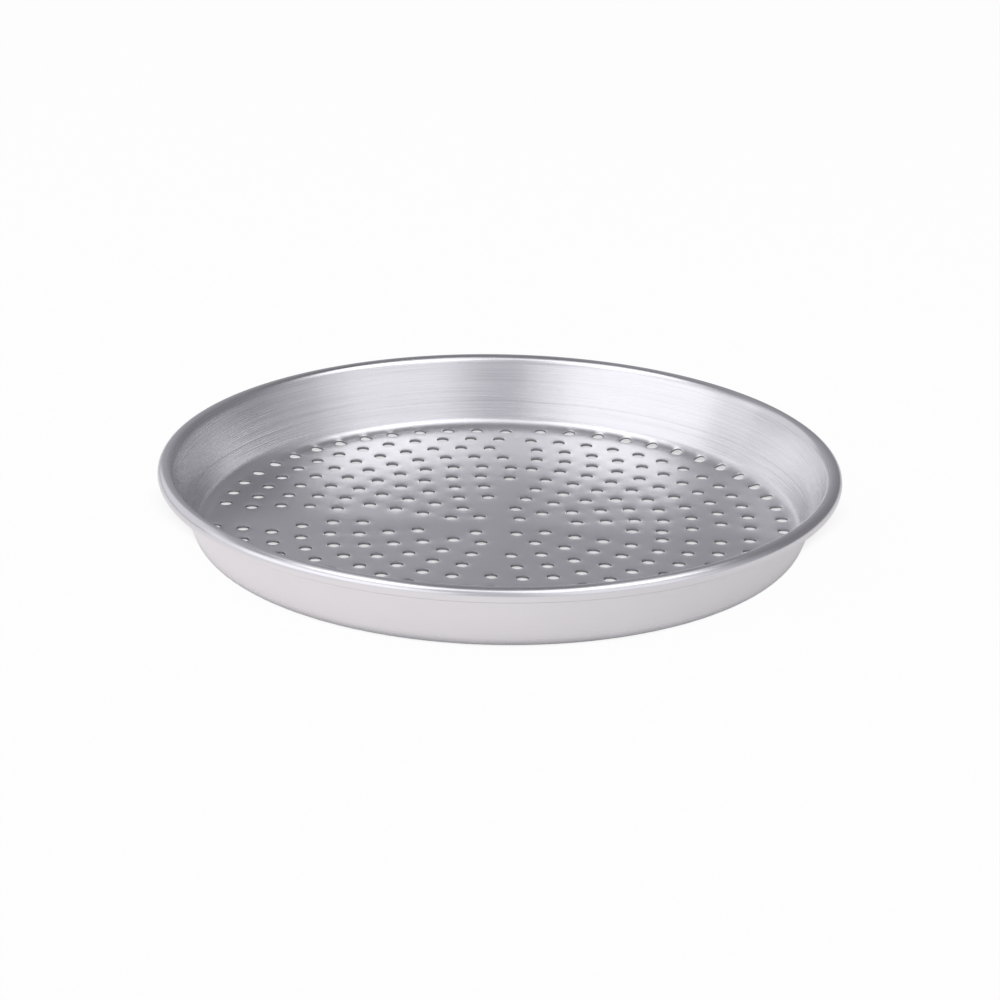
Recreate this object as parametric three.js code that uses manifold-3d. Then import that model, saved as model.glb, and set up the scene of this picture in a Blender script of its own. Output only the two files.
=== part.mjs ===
// Perforated tart pan: one spun aluminium sheet with a flared plain wall, pierced all over its floor,
// its edge rolled outwards round a wire. Millimetres, +Z up, underside on z = 0, pan axis on Z.
import * as THREE from 'three';
import { mergeVertices } from 'three/addons/utils/BufferGeometryUtils.js';
import Module from 'manifold-3d';

// Driving dimensions, in millimetres
const RIM_DIAMETER = 300;      // over the outside of the rolled bead
const HEIGHT = 32.5;           // underside to the top of the bead
const SHEET = 1.0;             // thickness of the aluminium sheet
const FLOOR_DIAMETER = 256;    // flat part of the floor
const CORNER_RADIUS = 6.5;     // inside radius between floor and wall
const BEAD_DIAMETER = 6.8;     // outside of the rolled edge
const BEAD_SLOT = 0.6;         // slot left between the curled edge and the wall
const WIRE_CLEARANCE = 0.3;    // air between the wire and the inside of the roll
const HOLE_DIAMETER = 5.4;     // punched holes
const HOLE_PITCH = 12.84;      // distance between rows of holes, and between holes in a row
const HOLE_FIELD_SHIFT = -0.65; // the punched field lies this far off the pan axis, along X
const WALL_MARGIN = 3;         // holes end at least this far below the bead

// Hole layout: the floor is pierced in four hits of one fan-shaped punch. Each hit has its apex one pitch
// from the middle of the field, and its rows are arcs about that apex, one pitch apart. The forming of the
// corner draws the last row of each hit outwards and apart. Angles in degrees, anticlockwise seen from above.
const HIT_ANGLES = [40.0, 128.6, 222.8, 311.4];               // middle line of each hit
const ROW_HOLES = [1, 2, 4, 5, 7, 9, 10, 11, 13, 14];         // holes in each row, from the apex outwards
const ROW_TURNS = [0, 28, -1.5, -1, -8.5, -3, -1, 2, 2, 0.5]; // turn of each row from the middle line
const ROW_ARC_ANGLE = 60;                                     // between holes, times the number of the row
const LAST_ROW_ANGLE = 6.87;                                  // between holes of the last row
const LAST_ROW_PITCHES = [9.15, 8.96, 9.0, 9.0];              // radius of the last row of each hit, in pitches

// How finely round shapes are faceted
const TURN_FACETS = 60;
const BEAD_FACETS = 9;
const CORNER_FACETS = 3;
const HOLE_SIDES = 6;
const WIRE_SIDES = 8;

// Derived sizes of the section
const floorRadius = FLOOR_DIAMETER / 2;
const beadRadius = BEAD_DIAMETER / 2;
const boreRadius = beadRadius - SHEET;
const wireRadius = boreRadius - WIRE_CLEARANCE;
const bead = new THREE.Vector2(RIM_DIAMETER / 2 - beadRadius, HEIGHT - beadRadius);
const corner = new THREE.Vector2(floorRadius, SHEET + CORNER_RADIUS);

// The inside of the wall is tangent to the corner and to the bead, which gives its flare from upright
const span = new THREE.Vector2().subVectors(bead, corner);
const flare = Math.acos((CORNER_RADIUS + beadRadius) / span.length()) - Math.atan2(span.y, span.x);
const bend = Math.PI / 2 - flare;
const wallLength = Math.sqrt(span.lengthSq() - (CORNER_RADIUS + beadRadius) ** 2);

// Point of the section at a radius and an angle about a centre
function polar(centre, radius, angle) {
  return new THREE.Vector2(centre.x + radius * Math.cos(angle), centre.y + radius * Math.sin(angle));
}

// Arc of the section, both ends included; a radius of a bore is widened so that its facets clear it
function arc(centre, radius, from, to, facets, clear = false) {
  const step = (to - from) / facets;
  const r = clear ? radius / Math.cos(step / 2) : radius;
  const points = [];
  for (let i = 0; i <= facets; i += 1) {
    points.push(polar(centre, r, from + i * step));
  }
  return points;
}

// Section of the sheet: out along the underside, up the outside, round inside the roll, back over the bead
// and down the inside
function sheetSection() {
  const rollStart = Math.PI - flare;
  const rollEnd = rollStart - 2 * Math.PI + Math.acos((boreRadius - BEAD_SLOT) / beadRadius);
  const outside = arc(corner, CORNER_RADIUS + SHEET, -Math.PI / 2, -flare, CORNER_FACETS);
  const insideRoll = arc(bead, boreRadius, rollStart, rollEnd, BEAD_FACETS, true);
  insideRoll[0] = polar(bead, boreRadius, rollStart);
  const overBead = arc(bead, beadRadius, rollEnd, rollStart, BEAD_FACETS);
  const inside = arc(corner, CORNER_RADIUS, -flare, -Math.PI / 2, CORNER_FACETS);
  return [
    new THREE.Vector2(0, 0),
    ...outside,
    ...insideRoll,
    ...overBead,
    ...inside,
    new THREE.Vector2(0, SHEET),
    new THREE.Vector2(0, 0),
  ];
}

// Welded solid of a three.js geometry, without the collapsed triangles on the axis
function solidOf(wasm, geometry) {
  geometry.deleteAttribute('normal');
  geometry.deleteAttribute('uv');
  const welded = mergeVertices(geometry, 1e-4);
  const index = welded.index.array;
  const triangles = [];
  for (let i = 0; i < index.length; i += 3) {
    const [a, b, c] = [index[i], index[i + 1], index[i + 2]];
    if (a !== b && b !== c && c !== a) {
      triangles.push(a, b, c);
    }
  }
  return new wasm.Manifold(new wasm.Mesh({
    numProp: 3,
    vertProperties: new Float32Array(welded.attributes.position.array),
    triVerts: new Uint32Array(triangles),
  }));
}

// Three.js geometry of a solid
function geometryOf(solid) {
  const mesh = solid.getMesh();
  const geometry = new THREE.BufferGeometry();
  geometry.setAttribute('position', new THREE.BufferAttribute(new Float32Array(mesh.vertProperties), 3));
  geometry.setIndex(new THREE.BufferAttribute(new Uint32Array(mesh.triVerts), 1));
  geometry.computeVertexNormals();
  return geometry;
}

// Section turned about the pan axis
function turned(points) {
  return new THREE.LatheGeometry(points, TURN_FACETS).rotateX(Math.PI / 2);
}

// Where a hole of the flat blank ends up: its radius in the blank is a length along the sheet
function placeHole(cutter, blankRadius, angle) {
  const middle = CORNER_RADIUS + SHEET / 2;
  const along = Math.max(blankRadius - floorRadius, 0);
  const tilt = Math.min(along / middle, bend);
  const up = along - tilt * middle;
  const radius = Math.min(blankRadius, floorRadius) + middle * Math.sin(tilt) + up * Math.sin(flare);
  const height = corner.y - middle * Math.cos(tilt) + up * Math.cos(flare);
  return cutter
    .rotateY(-tilt)
    .translate(radius, 0, height)
    .rotateZ(angle);
}

// Angle between neighbouring holes of a row, about the apex of its hit
function rowAngle(row) {
  if (row === ROW_HOLES.length - 1) {
    return THREE.MathUtils.degToRad(LAST_ROW_ANGLE);
  }
  return THREE.MathUtils.degToRad(ROW_ARC_ANGLE / Math.max(row, 1));
}

// Radius of a row about the apex of its hit
function rowRadius(row, hit) {
  const pitches = row === ROW_HOLES.length - 1 ? LAST_ROW_PITCHES[hit] : row;
  return HOLE_PITCH * pitches;
}

// Middles of all the holes on the flat blank
function holeMiddles() {
  const middles = [];
  HIT_ANGLES.forEach((hitAngle, hit) => {
    const middleLine = THREE.MathUtils.degToRad(hitAngle);
    const apex = polar(new THREE.Vector2(HOLE_FIELD_SHIFT, 0), HOLE_PITCH, middleLine);
    ROW_HOLES.forEach((holes, row) => {
      const turn = middleLine + THREE.MathUtils.degToRad(ROW_TURNS[row]);
      for (let i = 0; i < holes; i += 1) {
        const angle = turn + (i - (holes - 1) / 2) * rowAngle(row);
        middles.push(polar(apex, rowRadius(row, hit), angle));
      }
    });
  });
  return middles;
}

// Cutters of the holes that lie clear of the bead, one prism per hole with the area of the round hole
function holeCutters() {
  const halfStep = Math.PI / HOLE_SIDES;
  const radius = (HOLE_DIAMETER / 2) * Math.sqrt(halfStep / (Math.sin(halfStep) * Math.cos(halfStep)));
  const blankLimit = floorRadius + bend * (CORNER_RADIUS + SHEET / 2) + wallLength - WALL_MARGIN;
  return holeMiddles()
    .filter((middle) => middle.length() + HOLE_DIAMETER / 2 < blankLimit)
    .map((middle) => {
      const prism = new THREE.CylinderGeometry(radius, radius, 4 * SHEET, HOLE_SIDES).rotateX(Math.PI / 2);
      return placeHole(prism, middle.length(), Math.atan2(middle.y, middle.x));
    });
}

// Pan shell: the turned sheet less its holes, with flat faces left in as few triangles as they need
function panShell(wasm) {
  const sheet = solidOf(wasm, turned(sheetSection()));
  const cutters = holeCutters().map((cutter) => solidOf(wasm, cutter));
  const pierced = wasm.Manifold.difference([sheet, ...cutters]);
  return geometryOf(pierced.asOriginal().simplify(0.001));
}

// Rim wire: a closed ring lying in the middle of the roll
function rimWire() {
  const ring = new THREE.TorusGeometry(bead.x, wireRadius, WIRE_SIDES, TURN_FACETS);
  return ring.translate(0, 0, bead.y);
}

function part(name, geometry, colour, roughness, metalness) {
  const material = new THREE.MeshStandardMaterial({ color: colour, roughness, metalness });
  const mesh = new THREE.Mesh(geometry, material);
  mesh.name = name;
  return mesh;
}

const wasm = await Module();
wasm.setup();

const pan = new THREE.Group();
pan.name = 'perforated_tart_pan';
pan.add(part('pan_shell', panShell(wasm), 0xbcc0c4, 0.35, 1.0));
pan.add(part('rim_wire', rimWire(), 0x7d8085, 0.45, 1.0));

export default pan;
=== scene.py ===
# %% [markdown]
# A perforated tart pan in satin aluminium.
#
# The real pan starts as a flat round blank. A fan-shaped punch pierces it in four hits, a spinning lathe
# presses the blank over a former, and the edge is rolled outwards round a wire. This script makes the pan
# the same way: the blank is meshed flat, with its holes, and one formula then bends it into the pan.

# %% Load the frame
import math

import bpy
import numpy as np
from mathutils import Matrix, Vector
from mathutils.geometry import delaunay_2d_cdt


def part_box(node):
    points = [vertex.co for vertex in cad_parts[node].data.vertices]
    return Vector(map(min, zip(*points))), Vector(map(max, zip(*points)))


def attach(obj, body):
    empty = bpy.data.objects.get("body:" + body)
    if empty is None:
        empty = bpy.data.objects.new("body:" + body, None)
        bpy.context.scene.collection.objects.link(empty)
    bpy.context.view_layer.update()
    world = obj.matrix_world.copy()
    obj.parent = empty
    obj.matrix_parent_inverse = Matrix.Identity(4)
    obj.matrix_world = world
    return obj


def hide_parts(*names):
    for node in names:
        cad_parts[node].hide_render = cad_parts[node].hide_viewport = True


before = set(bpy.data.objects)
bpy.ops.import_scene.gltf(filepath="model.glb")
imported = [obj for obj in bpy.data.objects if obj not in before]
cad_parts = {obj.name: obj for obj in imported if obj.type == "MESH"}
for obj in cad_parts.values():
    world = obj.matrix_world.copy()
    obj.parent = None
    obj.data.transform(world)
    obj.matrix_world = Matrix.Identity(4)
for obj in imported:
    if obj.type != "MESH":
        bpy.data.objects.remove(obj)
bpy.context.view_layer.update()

# %% [markdown]
# The outer sizes come from the frame, so that the dressed pan always fills the space of its solid. The sizes
# of the sheet itself, such as its thickness and its bends, are repeated here in metres. The wall does not
# start to roll at once: the roller eases it over through a lead, where the bend tightens with the square of
# the way. The lead's reach along and across the wall is its length times the mean cosine and the mean sine of
# its headings.

# %% Sizes of the pan
MM = 0.001
shell_low, shell_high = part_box("pan_shell")
RIM_RADIUS = (shell_high.x - shell_low.x) / 2
HEIGHT = shell_high.z - shell_low.z
SHEET = 1.0 * MM
FLOOR_RADIUS = 128 * MM
CORNER_RADIUS = 6.5 * MM
BEAD_RADIUS = 3.4 * MM
BEAD_SLOT = 0.6 * MM
LEAD = 5 * MM

corner_bend = CORNER_RADIUS + SHEET / 2
roll_bend = BEAD_RADIUS - SHEET / 2
lead_turn = LEAD / (3 * roll_bend)
lead_headings = lead_turn * np.linspace(0, 1, 201) ** 3
lead_along = LEAD * np.cos(lead_headings).mean()
lead_across = LEAD * np.sin(lead_headings).mean()

corner_to_bead = np.array([
    RIM_RADIUS - BEAD_RADIUS - FLOOR_RADIUS,
    HEIGHT - BEAD_RADIUS - SHEET - CORNER_RADIUS,
])
across = corner_bend + lead_across + roll_bend * math.cos(lead_turn)
ahead = math.sqrt((corner_to_bead**2).sum() - across**2)
corner_turn = math.atan2(corner_to_bead[1], corner_to_bead[0]) + math.atan2(across, ahead)
wall_length = ahead - lead_along + roll_bend * math.sin(lead_turn)
roll_turn = 2 * math.pi - math.acos((BEAD_RADIUS - SHEET - BEAD_SLOT) / BEAD_RADIUS) - lead_turn

corner_end = FLOOR_RADIUS + corner_bend * corner_turn
wall_end = corner_end + wall_length
lead_end = wall_end + LEAD
blank_radius = lead_end + roll_bend * roll_turn
flare = 90 - math.degrees(corner_turn)
print(f"wall flares {flare:.1f} degrees, blank is {2 * blank_radius / MM:.0f} mm across")

# %% [markdown]
# The forming formula. A point of the blank has a distance from the middle, an angle and a lift off the middle
# of the sheet. Walking outwards along the sheet, the heading is level on the floor, turns up through the
# corner, stays steady along the wall, and turns over through the lead and the roll. The radius and the height
# are the running sums of small steps along that heading, so any other heading would make another pan.


# %% Forming the blank
WAY_STEPS = 40000


def heading_at(along):
    """Heading of the sheet at a distance along it, in radians above level.

    It is the corner's turn, less the lead's turn, which grows with the cube of the way through the lead,
    less the roll's turn.
    """
    corner = np.clip((along - FLOOR_RADIUS) / corner_bend, 0, corner_turn)
    lead = lead_turn * np.clip((along - wall_end) / LEAD, 0, 1) ** 3
    roll = np.clip((along - lead_end) / roll_bend, 0, roll_turn)
    return corner - lead - roll


way = np.linspace(0, blank_radius, WAY_STEPS + 1)
headings = heading_at((way[1:] + way[:-1]) / 2)
way_radius = np.concatenate([[0], np.cumsum(np.cos(headings) * way[1])])
way_height = np.concatenate([[0], np.cumsum(np.sin(headings) * way[1])]) + SHEET / 2


def form(along, angle, lift):
    """Points of the formed pan: x, y, z in metres.

    The radius and the height are looked up in the running sums at the distance along the sheet. The lift
    then moves a point square to the heading, into the pan, and the angle turns it about the axis.
    """
    heading = heading_at(along)
    radius = np.interp(along, way, way_radius) - lift * np.sin(heading)
    height = np.interp(along, way, way_height) + lift * np.cos(heading)
    return np.stack([radius * np.cos(angle), radius * np.sin(angle), height], axis=-1)


print(f"section runs to radius {way_radius.max() / MM:.2f} and height {way_height.max() / MM:.2f} mm")

# %% [markdown]
# The holes. One hit of the punch is a fan of rows about an apex, and the blank is turned by about a quarter
# between hits. The turns are not quite even, which leaves the bare strips of different width that cross the
# floor. The last row of each hit lies where the corner begins to bend, so its holes are tilted and drawn
# outwards by the forming, not by the same amount in each hit.

# %% Middles of the holes
HOLE_RADIUS = 2.7 * MM
HOLE_PITCH = 12.84 * MM
FIELD_SHIFT = -0.65 * MM
HIT_ANGLES = np.radians([40.0, 128.6, 222.8, 311.4])
ROW_HOLES = np.array([1, 2, 4, 5, 7, 9, 10, 11, 13, 14])
ROW_TURNS = np.radians([0, 28, -1.5, -1, -8.5, -3, -1, 2, 2, 0.5])
ROW_ARC_ANGLE = 60
LAST_ROW_ANGLE = 6.87
LAST_ROW_PITCHES = np.array([9.15, 8.96, 9.0, 9.0])


def hole_middles():
    """Middles of the holes on the flat blank, as an array of x, y.

    A hole's place in its row counts from the row's middle. Its angle about the apex is the hit's own angle,
    plus the row's turn, plus its place times 60 degrees over the row's number. The rows are one pitch apart.
    The last row has a step, in degrees, and radii of its own.
    """
    rows = np.arange(len(ROW_HOLES))
    row_angles = ROW_ARC_ANGLE / np.maximum(rows, 1)
    row_angles[-1] = LAST_ROW_ANGLE
    row = np.repeat(rows, ROW_HOLES)
    first = np.repeat(np.cumsum(ROW_HOLES) - ROW_HOLES, ROW_HOLES)
    place = np.arange(row.size) - first - (ROW_HOLES[row] - 1) / 2
    angle = HIT_ANGLES[:, None] + ROW_TURNS[row] + np.radians(place * row_angles[row])
    pitches = np.where(row == rows[-1], LAST_ROW_PITCHES[:, None], row)
    x = FIELD_SHIFT + HOLE_PITCH * (np.cos(HIT_ANGLES)[:, None] + pitches * np.cos(angle))
    y = HOLE_PITCH * (np.sin(HIT_ANGLES)[:, None] + pitches * np.sin(angle))
    return np.stack([x.ravel(), y.ravel()], axis=-1)


holes = hole_middles()
print(len(holes), "holes")

# %% [markdown]
# The pierced part of the blank is meshed flat. Each hole brings rings of points round itself, the corner
# brings rings round the pan, and a loose net fills the rest. A Delaunay triangulation joins them all, and the
# triangles that have all their corners on one hole's edge are the slugs that the punch takes out.

# %% The pierced blank
HOLE_SIDES = 18
EDGE_ROUND = 0.18 * MM
DISH_RINGS = np.array([0.4, 0.9, 1.6]) * MM
TURN_STEPS = 288
CORNER_RINGS = 15
CORNER_MARGIN = 2 * MM
DISH_MARGIN = 1 * MM
NET_STEP = 4.5 * MM
NET_CLEARANCE = 0.5 * MM
WHOLE_HULL = 0
WELD_DISTANCE = 1e-5


def ring_of(middles, radius, steps, phase=0.0):
    """Rings of points: each middle plus the radius times the cosine and sine of evenly spaced angles."""
    angle = (np.arange(steps) + phase) * 2 * np.pi / steps
    return middles[:, None] + radius * np.stack([np.cos(angle), np.sin(angle)], axis=-1)


def distance_to_hole(points):
    """Distance from each point of the blank to the middle of its nearest hole."""
    gap = points[:, None].astype(np.float32) - holes[None].astype(np.float32)
    return np.sqrt((gap**2).sum(axis=-1)).min(axis=1)


def net_points():
    """A net over the floor, one step apart, with every other row moved on by half a step."""
    count = int(FLOOR_RADIUS / NET_STEP)
    i, j = np.meshgrid(np.arange(-count, count + 1), np.arange(-count, count + 1))
    net = np.stack([(i + 0.5 * (j % 2)) * NET_STEP, j * NET_STEP], axis=-1).reshape(-1, 2)
    inside = np.hypot(*net.T) < FLOOR_RADIUS - NET_STEP
    return net[inside]


def corner_points():
    """Rings round the pan through the corner, with the outermost, which the wall goes on from, first."""
    reach = np.linspace(corner_end, FLOOR_RADIUS - CORNER_MARGIN, CORNER_RINGS)
    angle = np.arange(TURN_STEPS) * 2 * np.pi / TURN_STEPS
    rings = reach[:, None, None] * np.stack([np.cos(angle), np.sin(angle)], axis=-1)
    return rings[0], rings[1:].reshape(-1, 2)


rim_ring, corner_net = corner_points()
edge_ring = ring_of(holes, HOLE_RADIUS + EDGE_ROUND, HOLE_SIDES)
dish = np.concatenate([
    ring_of(holes, HOLE_RADIUS + EDGE_ROUND + reach, HOLE_SIDES, 0.5 * (turn % 2)).reshape(-1, 2)
    for turn, reach in enumerate(DISH_RINGS, start=1)
])
dish = dish[np.hypot(*dish.T) < corner_end - DISH_MARGIN]
loose = np.concatenate([net_points(), corner_net])
clear = HOLE_RADIUS + EDGE_ROUND + DISH_RINGS[-1] + NET_CLEARANCE
loose = loose[distance_to_hole(loose) > clear]
flat = np.concatenate([rim_ring, edge_ring.reshape(-1, 2), dish, loose])

edge_index = TURN_STEPS + np.arange(edge_ring.shape[0] * HOLE_SIDES).reshape(-1, HOLE_SIDES)
edge_pairs = np.stack([edge_index, np.roll(edge_index, -1, axis=1)], axis=-1).reshape(-1, 2)
flat_vectors = [Vector(point) for point in (flat / MM).tolist()]
meshed = delaunay_2d_cdt(flat_vectors, edge_pairs.tolist(), [], WHOLE_HULL, WELD_DISTANCE)
triangles = np.array(meshed[2])
owner = np.full(len(flat), -1)
owner[edge_index] = np.arange(len(holes))[:, None]
corners = owner[triangles]
slug = (corners[:, 0] >= 0) & (corners[:, 0] == corners[:, 1]) & (corners[:, 1] == corners[:, 2])
triangles = triangles[~slug]
a, b, c = (flat[triangles[:, k]] for k in range(3))
area = (b - a)[:, 0] * (c - a)[:, 1] - (b - a)[:, 1] * (c - a)[:, 0]
triangles[area < 0] = triangles[area < 0][:, ::-1]
print(f"blank: {len(flat)} points, {len(triangles)} triangles, {slug.sum()} slug triangles taken out")

# %% [markdown]
# A punch drags the soft sheet down round each hole before it shears through. The dish is only a fifth of a
# millimetre deep, but in satin metal it shows: its near side leans back, mirrors the bright wall across the
# pan and draws a bright crescent under each hole. The floor itself stands up a little inside its edge, so
# the dishes stay clear of the table, and no point of the lower face goes below the flat of the die. The
# piercing also shrinks the sheet, so the bare strips between the hits stand up as low ridges, and the thin
# floor gets long shallow waves.

# %% Dishes, ridges and waves of the floor
DISH_DEPTH = 0.21 * MM
DISH_REACH = 1.6 * MM
DISH_POWER = 1.1
FLOOR_RISE = 0.3 * MM
RIDGE_HEIGHT = 0.3 * MM
RIDGE_WIDTH = 11 * MM
WAVE_HEIGHT = 0.06 * MM
WAVE_LENGTH = 85 * MM


def dish_lift(points):
    """Lift round the holes: minus the depth times a power of what is left of the dish's reach.

    What is left is 1 at the hole's edge and 0 where the dish ends, and a power just over 1 makes the dish
    nearly a cone that runs out softly.
    """
    left = 1 - (distance_to_hole(points) - HOLE_RADIUS) / DISH_REACH
    return -DISH_DEPTH * np.clip(left, 0, 1) ** DISH_POWER


def floor_lift(points):
    """Lift of the floor: its rise, a bell curve across each bare strip and two waves, fading to the corner.

    A strip runs out from the middle, half way between the angles of two hits. The distance from it is the
    length of the cross product with its direction, and points behind the middle keep clear of it.
    """
    strips = HIT_ANGLES + (np.roll(HIT_ANGLES, -1) - HIT_ANGLES) % (2 * np.pi) / 2
    ahead = points @ np.stack([np.cos(strips), np.sin(strips)])
    beside = points @ np.stack([-np.sin(strips), np.cos(strips)])
    beside = np.hypot(beside, np.minimum(ahead, 0))
    ridges = np.exp(-((beside / RIDGE_WIDTH) ** 2)).max(axis=1)
    x, y = points.T * 2 * np.pi / WAVE_LENGTH
    waves = np.sin(1.0 * x + 0.4 * y + 0.6) * np.cos(0.9 * y + 0.3) + 0.5 * np.sin(1.7 * x - 1.3 * y)
    outwards = np.minimum(np.hypot(*points.T) / FLOOR_RADIUS, 1)
    uneven = (RIDGE_HEIGHT * ridges + WAVE_HEIGHT * waves) * (1 - outwards**4)
    return uneven + FLOOR_RISE * (1 - outwards**10)


face_lift = floor_lift(flat) + dish_lift(flat)
under_lift = np.maximum(face_lift, 0)
lowest, highest = face_lift.min() / MM, face_lift.max() / MM
print(f"upper face runs from {lowest:.2f} to {highest:.2f} mm off a true plane")

# %% [markdown]
# Now the sheet gets its two sides. Every point of the blank is formed twice, half a thickness above and below
# the middle of the sheet. The wall and the roll are a plain grid of rings, which goes on from the blank's
# outer ring. The holes get their walls, with the rounded edge that the punch leaves, and the end of the roll
# gets its cut edge.

# %% The formed sheet
WALL_RINGS = 10
LEAD_RINGS = 10
ROLL_RINGS = 28
EDGE_BREAK = 0.07 * MM
SHARP_ANGLE = math.radians(52)


def polar_of(points):
    """Distance from the middle and angle of points on the blank."""
    return np.hypot(*points.T), np.arctan2(points[:, 1], points[:, 0])


def loop_quads(low, high):
    """Quads between two rows of the same closed ring, or of many rings at once."""
    next_low, next_high = np.roll(low, -1, axis=-1), np.roll(high, -1, axis=-1)
    return np.stack([low, next_low, next_high, high], axis=-1).reshape(-1, 4)


def make_mesh(name, points, groups):
    """A mesh from an array of points and a list of face arrays, each with its own number of corners."""
    mesh = bpy.data.meshes.new(name)
    loops = np.concatenate([group.ravel() for group in groups])
    sizes = np.concatenate([np.full(len(group), group.shape[1]) for group in groups])
    mesh.vertices.add(len(points))
    mesh.vertices.foreach_set("co", points.astype(np.float32).ravel())
    mesh.loops.add(len(loops))
    mesh.loops.foreach_set("vertex_index", loops.astype(np.int32))
    mesh.polygons.add(len(sizes))
    mesh.polygons.foreach_set("loop_start", (np.cumsum(sizes) - sizes).astype(np.int32))
    mesh.polygons.foreach_set("use_smooth", np.ones(len(sizes), bool))
    mesh.update(calc_edges=True)
    mesh.validate()
    return mesh


def pan_sheet():
    """The whole sheet as points, face groups, and a mark that is 1 on faces that a tool has cut.

    Order of the points: inside of the blank, underside of the blank, rings of the inside of the wall and the
    outside of the roll, rings of the other side, then the two rings down each hole's wall.
    """
    along, angle = polar_of(flat)
    inside = form(along, angle, face_lift + SHEET / 2)
    broken = flat.copy()
    broken[edge_index] = ring_of(holes, HOLE_RADIUS + EDGE_BREAK, HOLE_SIDES)
    underside = form(*polar_of(broken), under_lift - SHEET / 2)

    reach = np.concatenate([
        np.linspace(corner_end, wall_end, WALL_RINGS + 1)[1:],
        np.linspace(wall_end, lead_end, LEAD_RINGS + 1)[1:],
        np.linspace(lead_end, blank_radius, ROLL_RINGS + 1)[1:],
    ])
    turn = np.arange(TURN_STEPS) * 2 * np.pi / TURN_STEPS
    reach_grid, turn_grid = np.meshgrid(reach, turn, indexing="ij")
    front = form(reach_grid, turn_grid, SHEET / 2).reshape(-1, 3)
    back = form(reach_grid, turn_grid, -SHEET / 2).reshape(-1, 3)

    bore = ring_of(holes, HOLE_RADIUS, HOLE_SIDES).reshape(-1, 2)
    bore_top = form(*polar_of(bore), face_lift[edge_index].ravel() + SHEET / 2 - EDGE_ROUND)
    bore_low = form(*polar_of(bore), under_lift[edge_index].ravel() + EDGE_BREAK - SHEET / 2)
    points = np.concatenate([inside, underside, front, back, bore_top, bore_low])

    count = len(flat)
    grid = np.arange(len(front)).reshape(len(reach), TURN_STEPS) + 2 * count
    front_rings = np.concatenate([np.arange(TURN_STEPS)[None], grid])
    back_rings = np.concatenate([np.arange(TURN_STEPS)[None] + count, grid + len(front)])
    bore_rings = np.arange(len(bore)).reshape(-1, HOLE_SIDES) + 2 * count + 2 * len(front)
    rolled = [
        triangles,
        triangles[:, ::-1] + count,
        loop_quads(front_rings[1:], front_rings[:-1])[:, ::-1],
        loop_quads(back_rings[:-1], back_rings[1:])[:, ::-1],
    ]
    sheared = [
        loop_quads(front_rings[-1:], back_rings[-1:]),
        loop_quads(edge_index, bore_rings),
        loop_quads(bore_rings, bore_rings + len(bore)),
        loop_quads(bore_rings + len(bore), edge_index + count),
    ]
    face_counts = [sum(len(group) for group in groups) for groups in (rolled, sheared)]
    return points, rolled + sheared, np.repeat([0.0, 1.0], face_counts)


sheet_points, sheet_faces, sheet_cut = pan_sheet()
pan_mesh = make_mesh("pan_sheet", sheet_points, sheet_faces)
cut_edge = pan_mesh.attributes.new("cut_edge", "FLOAT", "FACE")
cut_edge.data.foreach_set("value", sheet_cut.astype(np.float32))
pan_mesh.set_sharp_from_angle(angle=SHARP_ANGLE)
pan = bpy.data.objects.new("pan_sheet", pan_mesh)
bpy.context.scene.collection.objects.link(pan)
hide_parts("pan_shell")
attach(pan, "root")
triangle_count = len(pan_mesh.loops) - 2 * len(pan_mesh.polygons)
print(f"pan_sheet: {len(pan_mesh.vertices)} points, {triangle_count} triangles")

# %% [markdown]
# Shader maths reads best as plain expressions. The class Value wraps one output socket of a node, and each
# operator on it adds one Math node, so that a mask can be turned round by writing 1 - mask. The class Tree
# adds every other node, with its options first and then its sockets.


# %% Shader maths
class Tree:
    """The nodes of one material or world."""

    def __init__(self, owner):
        owner.use_nodes = True
        self.tree = owner.node_tree
        self.tree.nodes.clear()

    def node(self, kind, settings=None, **sockets):
        """One node: its options first, then its sockets, by name, or by number as in i0."""
        made = self.tree.nodes.new("ShaderNode" + kind)
        for option, value in (settings or {}).items():
            setattr(made, option, value)
        for socket, value in sockets.items():
            numbered = socket[0] == "i" and socket[1:].isdigit()
            key = int(socket[1:]) if numbered else socket.replace("_", " ")
            self.feed(value, made.inputs[key])
        return made

    def feed(self, value, socket):
        """Sets a socket to a plain value, or links a wrapped or bare output to it."""
        if isinstance(value, Value):
            self.tree.links.new(value.socket, socket)
        elif isinstance(value, bpy.types.NodeSocket):
            self.tree.links.new(value, socket)
        else:
            socket.default_value = value

    def value(self, kind, output, settings=None, **sockets):
        """One node's output, wrapped for shader maths."""
        return Value(self, self.node(kind, settings, **sockets).outputs[output])

    def parts(self, vector):
        """The three wrapped parts of a vector output."""
        split = self.node("SeparateXYZ", Vector=vector)
        return [Value(self, output) for output in split.outputs]

    def shades(self, mix, colour, dark, bright):
        """A colour times a factor that runs from dark to bright as the mix runs from 0 to 1."""
        ramp = self.node("ValToRGB", Fac=mix)
        for element, factor in zip(ramp.color_ramp.elements, (dark, bright)):
            element.color = tuple(v * factor for v in colour[:3]) + (1,)
        return ramp.outputs[0]


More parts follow.
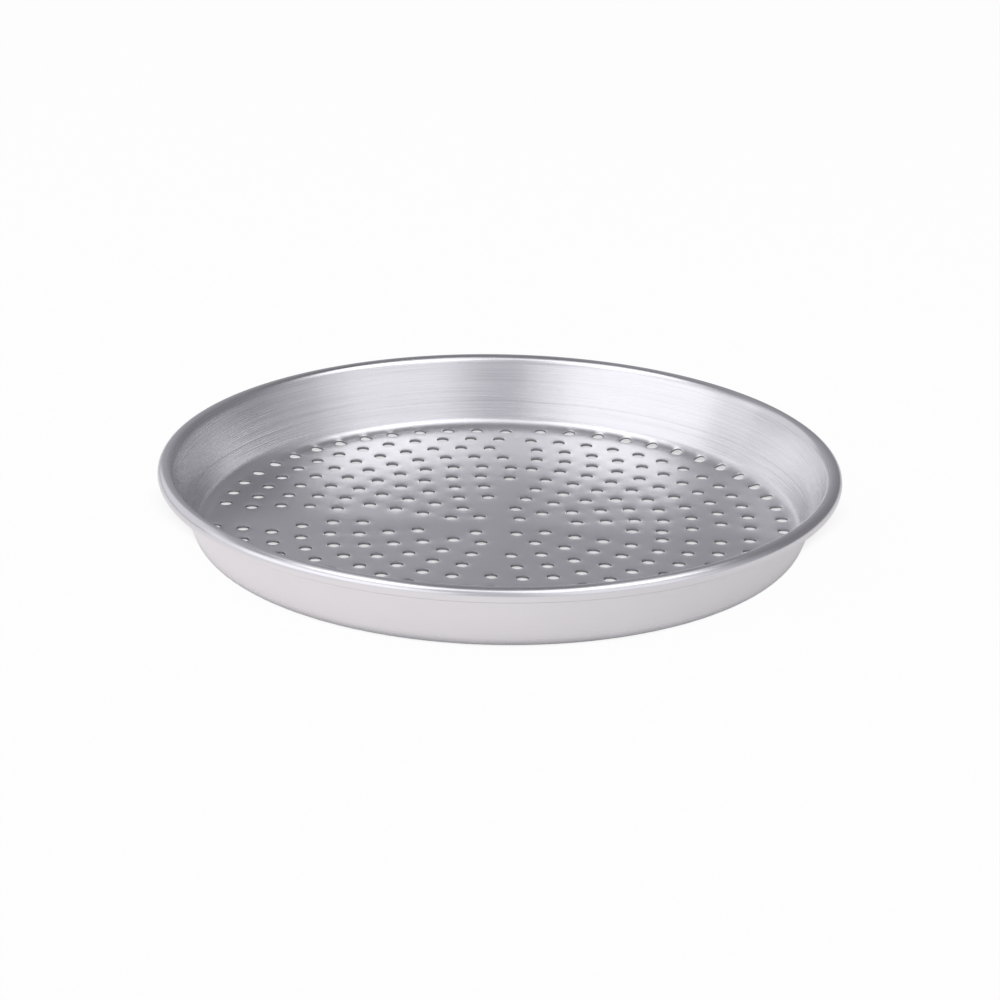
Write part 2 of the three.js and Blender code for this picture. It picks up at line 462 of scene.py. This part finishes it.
class Value:
    """A number that changes over a surface. Its operators add Math nodes."""

    def __init__(self, tree, socket):
        self.tree = tree
        self.socket = socket

    def math(self, operation, *others):
        """One Math node with this value as its first input."""
        inputs = {f"i{k}": value for k, value in enumerate([self, *others])}
        return self.tree.value("Math", 0, {"operation": operation}, **inputs)

    def __add__(self, other):
        return self.math("ADD", other)

    __radd__ = __add__

    def __sub__(self, other):
        return self.math("SUBTRACT", other)

    def __rsub__(self, other):
        return (self * -1) + other

    def __mul__(self, other):
        return self.math("MULTIPLY", other)

    __rmul__ = __mul__

    def __truediv__(self, other):
        return self.math("DIVIDE", other)

    def __pow__(self, other):
        return self.math("POWER", other)

    def ramp(self, low, high):
        """0 below low and 1 above high, with a smooth step between."""
        settings = {"interpolation_type": "SMOOTHSTEP"}
        return self.tree.value("MapRange", 0, settings, Value=self, From_Min=low, From_Max=high)


# %% [markdown]
# Satin aluminium. The pan was smoothed while it turned, which left fine rings round its axis. They blur a
# reflection far more across the rings than along them, so the shader is anisotropic and the blur is turned by
# a quarter. On the inside of the wall the rings also show as streaks. They are noise that changes fast along
# the sheet and slowly round the pan, and two deeper tool lines run round the lower half of the wall. The
# outside stays plain. The sheared edges of the holes are rougher than the rolled sheet, and their colour is
# painted much darker, a painted shade for the shadowed walls inside the holes.

# %% Finish of the sheet
SATIN_COLOUR = (0.88, 0.875, 0.885, 1)
# Painted shade: a much darker colour on the sheared faces stands in for the shade on the walls inside the
# holes.
SHEARED_AND_SHADED_COLOUR = (0.34, 0.34, 0.35, 1)
TOOL_LINES = ((12.2 * MM, 1.0), (9.0 * MM, 0.6))
TOOL_LINE_WIDTH = 0.33 * MM
FINE_RINGS = 2000
BROAD_RINGS = 420
STREAK_BUMP = 0.11 * MM
AXIS_GUARD = 1e-9


def spun_aluminium():
    """Material of the sheet: streaks in colour, roughness and a fine bump, from the way along the sheet.

    The way along the sheet is taken as the radius plus the height, which grows steadily from the middle of
    the floor to the rim. The guard keeps the radius off zero on the axis, as other values are divided by it.
    """
    material = bpy.data.materials.new("spun_aluminium")
    tree = Tree(material)
    coordinates = tree.node("TexCoord").outputs
    place = coordinates["Object"]
    x, y, z = tree.parts(place)
    lean_x, lean_y, _ = tree.parts(coordinates["Normal"])
    radius = (x * x + y * y + AXIS_GUARD) ** 0.5
    along = radius + z
    inside = ((lean_x * x + lean_y * y) / radius).ramp(0.3, -0.1)

    def rings(per_metre, round_the_pan, detail):
        """Noise on the way along the sheet and on the direction from the axis, from 0 to 1."""
        ahead, aside = x / radius * round_the_pan, y / radius * round_the_pan
        where = tree.node("CombineXYZ", X=along * per_metre, Y=ahead, Z=aside)
        noise = {"Vector": where.outputs[0], "Scale": 1.0, "Detail": detail, "Roughness": 0.6}
        return tree.value("TexNoise", 0, **noise)

    def tool_line(height, depth):
        """A bell curve across one height of the wall, a third of a millimetre wide."""
        away = (z - height) / TOOL_LINE_WIDTH
        return (away * away * -1).math("EXPONENT") * depth

    wall = z.ramp(2 * MM, 6 * MM)
    spun = wall * inside
    fine = rings(FINE_RINGS, 2.2, 2.0)
    broad = rings(BROAD_RINGS, 1.6, 3.0)
    lines = (tool_line(*TOOL_LINES[0]) + tool_line(*TOOL_LINES[1])) * spun
    cut = tree.value("Attribute", "Fac", {"attribute_name": "cut_edge"})
    stain = tree.value("TexNoise", 0, Vector=place, Scale=22.0, Detail=4.0, Roughness=0.55)
    streak = (fine * 0.6 + broad * 0.4 - 0.5) * (spun * 0.85 + 0.15)

    shade = streak * 1.1 - lines * 0.12 + (stain - 0.5) * 0.2 + 0.66
    colour = tree.shades(shade, SATIN_COLOUR, 0.7, 1.12)
    # Painted shade: the sheared faces take the much darker colour for the shade inside the holes; their extra
    # roughness below is their real finish.
    sheared = tree.node("Mix", {"data_type": "RGBA"}, i0=cut, i6=colour, i7=SHEARED_AND_SHADED_COLOUR)
    rough = 0.32 - wall * 0.09 + streak * 0.35 + (stain - 0.5) * 0.08 + cut * 0.15
    bump = tree.node("Bump", Strength=0.8, Distance=STREAK_BUMP, Height=streak - lines * 0.4)
    shader = tree.node(
        "BsdfPrincipled",
        Base_Color=sheared.outputs[2],
        Metallic=1.0,
        Roughness=rough,
        Anisotropic=0.4,
        Anisotropic_Rotation=0.25,
        Normal=bump.outputs[0],
    )
    tree.node("OutputMaterial", Surface=shader.outputs[0])
    return material


pan_mesh.materials.append(spun_aluminium())
print("finish of the sheet:", pan_mesh.materials[0].name)

# %% [markdown]
# The wire lies inside the roll and shows only through the slot under the rim. Its solid has the right shape,
# so it stays, and it gets the finish of drawn steel wire: grey, with fine scratches along its length.

# %% Finish of the wire
WIRE_COLOUR = (0.42, 0.43, 0.45, 1)
MARK_SCALE = (60, 60, 4000)
MARK_BUMP = 0.02 * MM


def drawn_steel():
    """Material of the wire: drawing marks are noise that changes with height but hardly round the ring."""
    material = bpy.data.materials.new("drawn_steel")
    tree = Tree(material)
    place = tree.node("TexCoord").outputs["Object"]
    stretch = tree.node("Mapping", Vector=place, Scale=MARK_SCALE)
    marks = tree.value("TexNoise", 0, Vector=stretch.outputs[0], Scale=1.0, Detail=3.0)
    colour = tree.shades(marks, WIRE_COLOUR, 0.8, 1.2)
    bump = tree.node("Bump", Strength=0.2, Distance=MARK_BUMP, Height=marks)
    shader = tree.node(
        "BsdfPrincipled",
        Base_Color=colour,
        Metallic=1.0,
        Roughness=0.32 + marks * 0.15,
        Normal=bump.outputs[0],
    )
    tree.node("OutputMaterial", Surface=shader.outputs[0])
    return material


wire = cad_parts["rim_wire"]
wire.data.materials.clear()
wire.data.materials.append(drawn_steel())
print("finish of the wire:", wire.data.materials[0].name)

# %% [markdown]
# The studio. The pan stands on a plain white table that fills the view, so the table is the background. To
# the camera nearly all of its white is its own light. In reflections about half is, and there the own light
# is painted light and shade: painted brighter on the left than on the right, for the key's light from the
# left and the pan's shadow to the right, and painted darker behind the pan, far off in front and close round
# the pan's foot. The rest is lit and keeps the pan's soft shadow. Under the pan the own light drops, a
# painted shadow of the pan on the table, and the shade runs out softly behind it: the holes show a greyer
# white, and their walls mirror little light. The room is brighter on the camera's side and dim behind the
# pan, most of all on the right and high up, which draws the dark line along the far rim and the dark
# crescents at the far sides of the holes.

# %% Table and room
TABLE_SIZE = 14.0
TABLE_DROP = 0.3 * MM
ROOM_FRONT = 0.54
ROOM_BACK_LEFT = 0.41
ROOM_BACK_RIGHT = 0.22
ROOM_COLOUR = (0.925, 0.915, 1, 1)
TABLE_WHITE = 0.97
TABLE_SHADE = 0.43
TABLE_MIRRORED = 0.69
TABLE_TINT = (1, 0.955, 0.965, 1)
WHITE = (1, 1, 1, 1)


def white_table():
    """Material of the table: its own light to camera, glossy and transmission rays, lit for the rest.

    The ramps run over metres from the pan's axis, with x to the right and y away from the camera.
    """
    material = bpy.data.materials.new("white_table")
    tree = Tree(material)
    path = tree.node("LightPath").outputs
    camera_ray = Value(tree, path["Is Camera Ray"])
    bounced = Value(tree, path["Is Glossy Ray"]) + Value(tree, path["Is Transmission Ray"])
    mirrored = bounced.math("MINIMUM", 1.0)
    x, y, _ = tree.parts(tree.node("TexCoord").outputs["Object"])
    radius = (x * x + y * y).math("SQRT")
    # Painted shadow of the pan: the own light drops under the pan and runs out softly behind it.
    behind = y.ramp(-0.04, 0.04)
    under = radius.ramp(behind * 0.034 + 0.132, behind * 0.008 + 0.124)
    seen = TABLE_WHITE - under * TABLE_SHADE
    # Painted shade and light on the own light in reflections: darker round the pan's foot, behind the pan and
    # far off in front, and brighter on the left than on the right.
    painted_foot_shade = 1 - radius.ramp(0.140, 0.130)
    painted_back_shade = 1 - y.ramp(0.0, 0.3) * 0.6
    painted_front_shade = 1 - y.ramp(-0.32, -0.7) * 0.6
    painted_side_light = TABLE_MIRRORED - x.ramp(-0.14, 0.16) * 0.36 - x.ramp(-0.13, -0.19) * 0.22
    shown = painted_side_light * (painted_foot_shade * painted_back_shade * painted_front_shade)
    lit = tree.node("BsdfDiffuse", Color=(0.8, 0.8, 0.8, 1))
    tint = tree.node("Mix", {"data_type": "RGBA"}, i0=camera_ray, i6=TABLE_TINT, i7=WHITE)
    glow = tree.node("Emission", Color=tint.outputs[2], Strength=1.0)
    own = camera_ray * seen + mirrored * shown
    mixed = tree.node("MixShader", Fac=own, i1=lit.outputs[0], i2=glow.outputs[0])
    tree.node("OutputMaterial", Surface=mixed.outputs[0])
    return material


def grey_room(world):
    """World: white to the camera, and to the rest a grey that brightens from behind the pan to the front.

    Behind the pan it also brightens from right to left, and it darkens overhead, but not over the front.
    """
    tree = Tree(world)
    camera_ray = tree.node("LightPath").outputs["Is Camera Ray"]
    x, y, z = tree.parts(tree.node("TexCoord").outputs["Generated"])
    behind = x.ramp(0.7, -0.5) * (ROOM_BACK_LEFT - ROOM_BACK_RIGHT) + ROOM_BACK_RIGHT
    level = y.ramp(0.4, -0.35) * (ROOM_FRONT - behind) + behind
    overhead = z.ramp(0.62, 0.92) * y.ramp(-0.35, 0.0)
    level = level * (1 - overhead * 0.45)
    grey = tree.node("Background", Color=ROOM_COLOUR, Strength=level)
    white = tree.node("Background", Color=WHITE, Strength=1.0)
    mixed = tree.node("MixShader", Fac=camera_ray, i1=grey.outputs[0], i2=white.outputs[0])
    tree.node("OutputWorld", Surface=mixed.outputs[0])


half = TABLE_SIZE / 2
table_corners = np.array([[-1, -1, 0], [1, -1, 0], [1, 1, 0], [-1, 1, 0]]) * half - [0, 0, TABLE_DROP]
table_mesh = make_mesh("table", table_corners, [np.array([[0, 1, 2, 3]])])
table_mesh.materials.append(white_table())
table = bpy.data.objects.new("table", table_mesh)
bpy.context.scene.collection.objects.link(table)
bpy.context.scene.world = bpy.data.worlds.new("room")
grey_room(bpy.context.scene.world)
print("table and room made")

# %% [markdown]
# Soft boxes. A large one at the front left is the key, a weaker one at the front right fills, and the gap
# between them shows as the darker band down the middle of the back wall. Each has a smaller core, because a
# real soft box is brighter in its middle. One at the left lights the right wall, two hang over the front and
# light the back of the floor by way of the wall, and two hang close above the pan for the sides of the rim.


# %% Soft boxes
LAMP_COLOUR = (0.98, 0.98, 1.0)
PAN_MIDDLE = (0, 0, 0)


def soft_box(name, place, target, width, height, brightness):
    """An area lamp at a place, facing a target, with its sides in metres.

    Its power is its brightness times pi times its area, so brightness 1 looks as bright as the white table.
    """
    data = bpy.data.lights.new(name, "AREA")
    data.shape = "RECTANGLE"
    data.size, data.size_y = width, height
    data.energy = brightness * math.pi * width * height
    data.color = LAMP_COLOUR
    lamp = bpy.data.objects.new(name, data)
    lamp.location = place
    lamp.rotation_mode = "QUATERNION"
    lamp.rotation_quaternion = (Vector(place) - Vector(target)).to_track_quat("Z", "Y")
    bpy.context.scene.collection.objects.link(lamp)
    return lamp


def bearing(across, up, distance):
    """A place at a bearing (degrees, 0 towards the camera, positive to its right) and an elevation."""
    across, up = math.radians(across), math.radians(up)
    return (
        distance * math.sin(across) * math.cos(up),
        -distance * math.cos(across) * math.cos(up),
        distance * math.sin(up),
    )


lamps = [
    soft_box("key_left", bearing(-60, 20, 1.6), PAN_MIDDLE, 3.3, 1.0, 0.44),
    soft_box("key_core", bearing(-57, 20, 1.59), PAN_MIDDLE, 1.8, 1.0, 0.2),
    soft_box("fill_right", bearing(42, 20, 1.6), PAN_MIDDLE, 1.85, 1.0, 0.2),
    soft_box("fill_core", bearing(41, 20, 1.59), PAN_MIDDLE, 1.15, 1.0, 0.18),
    soft_box("side_left", bearing(-129, 22, 1.6), PAN_MIDDLE, 1.25, 1.0, 0.34),
    soft_box("top_left", bearing(-58, 60, 1.6), PAN_MIDDLE, 1.3, 0.9, 0.78),
    soft_box("top_right", bearing(51, 60, 1.6), PAN_MIDDLE, 1.55, 0.9, 0.84),
    soft_box("over_left", (-0.33, -0.03, 0.6), (-0.33, -0.03, 0), 0.3, 0.56, 0.45),
    soft_box("over_right", (0.33, -0.03, 0.6), (0.33, -0.03, 0), 0.3, 0.56, 0.5),
]
print(len(lamps), "soft boxes")

# %% [markdown]
# The camera looks down on the pan from nearly 1.4 metres away through a long lens. It is turned very slightly
# round its own axis, and the lens is shifted so that the pan sits where the photograph has it.

# %% Camera
CAMERA_DISTANCE = 1370 * MM
CAMERA_ELEVATION = math.radians(21.42)
CAMERA_ROLL = math.radians(1.04)
LENS = 111.2
SENSOR = 36.0
LENS_SHIFT = (0.0025, 0.0257)

back = Vector((0, -math.cos(CAMERA_ELEVATION), math.sin(CAMERA_ELEVATION)))
right = Vector((1, 0, 0))
up = back.cross(right)
axes = Matrix((
    math.cos(CAMERA_ROLL) * right + math.sin(CAMERA_ROLL) * up,
    math.cos(CAMERA_ROLL) * up - math.sin(CAMERA_ROLL) * right,
    back,
)).transposed()
camera_data = bpy.data.cameras.new("camera")
camera_data.lens = LENS
camera_data.sensor_width = SENSOR
camera_data.shift_x, camera_data.shift_y = LENS_SHIFT
camera = bpy.data.objects.new("camera", camera_data)
field_middle = Vector((FIELD_SHIFT, 0, SHEET))
camera.matrix_world = Matrix.Translation(field_middle + CAMERA_DISTANCE * back) @ axes.to_4x4()
bpy.context.scene.collection.objects.link(camera)
bpy.context.scene.camera = camera
bpy.context.scene.view_settings.view_transform = "Standard"
print("camera at", [round(v, 3) for v in camera.location])
